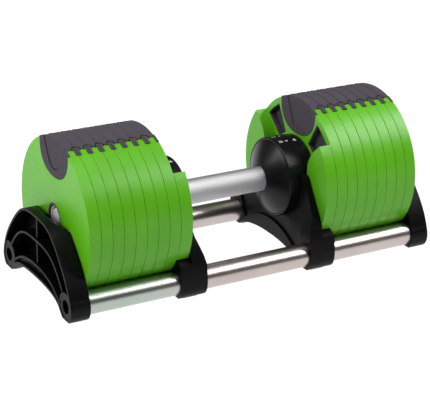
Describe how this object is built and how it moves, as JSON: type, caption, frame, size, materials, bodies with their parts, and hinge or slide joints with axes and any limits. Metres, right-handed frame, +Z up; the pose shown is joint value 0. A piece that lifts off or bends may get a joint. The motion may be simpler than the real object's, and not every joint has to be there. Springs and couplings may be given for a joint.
{
  "type": "adjustable dumbbell",
  "caption": "Adjustable dumbbell with round interlocking plates, twist grip and sliding selector shafts, docked in a tray of steel tubes and moulded brackets.",
  "frame": {"origin": "on the floor, under the middle of the grip", "axes": "+X along the dumbbell, +Y to the rear tube, +Z up"},
  "size_m": [0.4598, 0.1824, 0.1789],
  "materials": {
    "green_coat": "satin powder coat over steel",
    "nylon_insert": "fine-textured moulded nylon",
    "tray_plastic": "satin moulded plastic",
    "dial_plastic": "semi-gloss moulded plastic",
    "hub_plastic": "semi-gloss moulded plastic",
    "tube_chrome": "polished",
    "grip_steel": "fine knurl",
    "shaft_steel": "ground",
    "plain_steel": "turned",
    "pin_steel": "hardened",
    "bronze": "turned",
    "bush_plastic": "natural acetal",
    "black_screw": "black oxide",
    "bright_screw": "zinc plated",
    "foot_rubber": "matt"
  },
  "bodies": {
    "tray": {"front_tube": "tube_chrome", "rear_tube": "tube_chrome", "outer_bracket_left": "tray_plastic", "outer_bracket_right": "tray_plastic", "inner_bracket_left": "tray_plastic", "inner_bracket_right": "tray_plastic", "tube_bolts": "black_screw", "tube_plugs": "plain_steel", "rubber_feet": "foot_rubber", "clamp_screws": "bright_screw"},
    "handle_core": {"core_tube": "plain_steel", "hubs": "hub_plastic", "grip_bushes": "bush_plastic", "detent_plungers": "bright_screw", "hub_screws": "black_screw", "lock_springs": "pin_steel"},
    "grip": {"grip_tube": "grip_steel", "cam_sleeve": "bronze", "dial_left": "dial_plastic", "dial_right": "dial_plastic", "dial_screws": "black_screw"},
    "shaft_left": {"selector_shaft_left": "shaft_steel", "follower_pin_left": "pin_steel"},
    "shaft_right": {"selector_shaft_right": "shaft_steel", "follower_pin_right": "pin_steel"},
    "lock_pins": {"lock_pins": "pin_steel"},
    "weight_left_1": {"plate_left_1": "green_coat", "insert_left_1": "nylon_insert"},
    "weight_left_2": {"plate_left_2": "green_coat", "insert_left_2": "nylon_insert"},
    "weight_left_3": {"plate_left_3": "green_coat", "insert_left_3": "nylon_insert"},
    "weight_left_4": {"plate_left_4": "green_coat", "insert_left_4": "nylon_insert"},
    "weight_left_5": {"plate_left_5": "green_coat", "insert_left_5": "nylon_insert"},
    "weight_left_6": {"plate_left_6": "green_coat", "insert_left_6": "nylon_insert"},
    "weight_left_7": {"plate_left_7": "green_coat", "insert_left_7": "nylon_insert"},
    "weight_left_8": {"plate_left_8": "green_coat", "insert_left_8": "nylon_insert", "end_ring_left": "shaft_steel"},
    "weight_right_1": {"plate_right_1": "green_coat", "insert_right_1": "nylon_insert"},
    "weight_right_2": {"plate_right_2": "green_coat", "insert_right_2": "nylon_insert"},
    "weight_right_3": {"plate_right_3": "green_coat", "insert_right_3": "nylon_insert"},
    "weight_right_4": {"plate_right_4": "green_coat", "insert_right_4": "nylon_insert"},
    "weight_right_5": {"plate_right_5": "green_coat", "insert_right_5": "nylon_insert"},
    "weight_right_6": {"plate_right_6": "green_coat", "insert_right_6": "nylon_insert"},
    "weight_right_7": {"plate_right_7": "green_coat", "insert_right_7": "nylon_insert"},
    "weight_right_8": {"plate_right_8": "green_coat", "insert_right_8": "nylon_insert", "end_ring_right": "shaft_steel"}
  },
  "joints": [
    {"name": "dumbbell_lift", "type": "slide", "parent": "tray", "child": "handle_core", "axis": [0, 0, 1], "range_m": [0, 0.15]},
    {"name": "grip_turn", "type": "hinge", "parent": "handle_core", "child": "grip", "pos_m": [0, 0, 0.08785], "axis": [1, 0, 0], "range_deg": [0, 160]},
    {"name": "shaft_left_slide", "type": "slide", "parent": "handle_core", "child": "shaft_left", "axis": [1, 0, 0], "range_m": [0, 0.1084]},
    {"name": "shaft_right_slide", "type": "slide", "parent": "handle_core", "child": "shaft_right", "axis": [-1, 0, 0], "range_m": [0, 0.1084]},
    {"name": "lock_pins_drop", "type": "slide", "parent": "handle_core", "child": "lock_pins", "axis": [0, 0, -1], "range_m": [0, 0.004]},
    {"name": "weight_left_1_lift", "type": "slide", "parent": "tray", "child": "weight_left_1", "axis": [0, 0, 1], "range_m": [0, 0.15]},
    {"name": "weight_left_2_lift", "type": "slide", "parent": "tray", "child": "weight_left_2", "axis": [0, 0, 1], "range_m": [0, 0.15]},
    {"name": "weight_left_3_lift", "type": "slide", "parent": "tray", "child": "weight_left_3", "axis": [0, 0, 1], "range_m": [0, 0.15]},
    {"name": "weight_left_4_lift", "type": "slide", "parent": "tray", "child": "weight_left_4", "axis": [0, 0, 1], "range_m": [0, 0.15]},
    {"name": "weight_left_5_lift", "type": "slide", "parent": "tray", "child": "weight_left_5", "axis": [0, 0, 1], "range_m": [0, 0.15]},
    {"name": "weight_left_6_lift", "type": "slide", "parent": "tray", "child": "weight_left_6", "axis": [0, 0, 1], "range_m": [0, 0.15]},
    {"name": "weight_left_7_lift", "type": "slide", "parent": "tray", "child": "weight_left_7", "axis": [0, 0, 1], "range_m": [0, 0.15]},
    {"name": "weight_left_8_lift", "type": "slide", "parent": "tray", "child": "weight_left_8", "axis": [0, 0, 1], "range_m": [0, 0.15]},
    {"name": "weight_right_1_lift", "type": "slide", "parent": "tray", "child": "weight_right_1", "axis": [0, 0, 1], "range_m": [0, 0.15]},
    {"name": "weight_right_2_lift", "type": "slide", "parent": "tray", "child": "weight_right_2", "axis": [0, 0, 1], "range_m": [0, 0.15]},
    {"name": "weight_right_3_lift", "type": "slide", "parent": "tray", "child": "weight_right_3", "axis": [0, 0, 1], "range_m": [0, 0.15]},
    {"name": "weight_right_4_lift", "type": "slide", "parent": "tray", "child": "weight_right_4", "axis": [0, 0, 1], "range_m": [0, 0.15]},
    {"name": "weight_right_5_lift", "type": "slide", "parent": "tray", "child": "weight_right_5", "axis": [0, 0, 1], "range_m": [0, 0.15]},
    {"name": "weight_right_6_lift", "type": "slide", "parent": "tray", "child": "weight_right_6", "axis": [0, 0, 1], "range_m": [0, 0.15]},
    {"name": "weight_right_7_lift", "type": "slide", "parent": "tray", "child": "weight_right_7", "axis": [0, 0, 1], "range_m": [0, 0.15]},
    {"name": "weight_right_8_lift", "type": "slide", "parent": "tray", "child": "weight_right_8", "axis": [0, 0, 1], "range_m": [0, 0.15]}
  ],
  "couplings": [
    {"joint": "shaft_left_slide", "follows": "grip_turn", "m_per_rad": 0.038675},
    {"joint": "shaft_right_slide", "follows": "grip_turn", "m_per_rad": 0.038675},
    {"joint": "lock_pins_drop", "follows": "dumbbell_lift", "ratio": 0.0266},
    {"joint": "weight_left_1_lift", "follows": "dumbbell_lift", "ratio": 1},
    {"joint": "weight_left_2_lift", "follows": "dumbbell_lift", "ratio": 1},
    {"joint": "weight_left_3_lift", "follows": "dumbbell_lift", "ratio": 1},
    {"joint": "weight_left_4_lift", "follows": "dumbbell_lift", "ratio": 1},
    {"joint": "weight_left_5_lift", "follows": "dumbbell_lift", "ratio": 1},
    {"joint": "weight_left_6_lift", "follows": "dumbbell_lift", "ratio": 1},
    {"joint": "weight_left_7_lift", "follows": "dumbbell_lift", "ratio": 1},
    {"joint": "weight_left_8_lift", "follows": "dumbbell_lift", "ratio": 1},
    {"joint": "weight_right_1_lift", "follows": "dumbbell_lift", "ratio": 1},
    {"joint": "weight_right_2_lift", "follows": "dumbbell_lift", "ratio": 1},
    {"joint": "weight_right_3_lift", "follows": "dumbbell_lift", "ratio": 1},
    {"joint": "weight_right_4_lift", "follows": "dumbbell_lift", "ratio": 1},
    {"joint": "weight_right_5_lift", "follows": "dumbbell_lift", "ratio": 1},
    {"joint": "weight_right_6_lift", "follows": "dumbbell_lift", "ratio": 1},
    {"joint": "weight_right_7_lift", "follows": "dumbbell_lift", "ratio": 1},
    {"joint": "weight_right_8_lift", "follows": "dumbbell_lift", "ratio": 1}
  ]
}
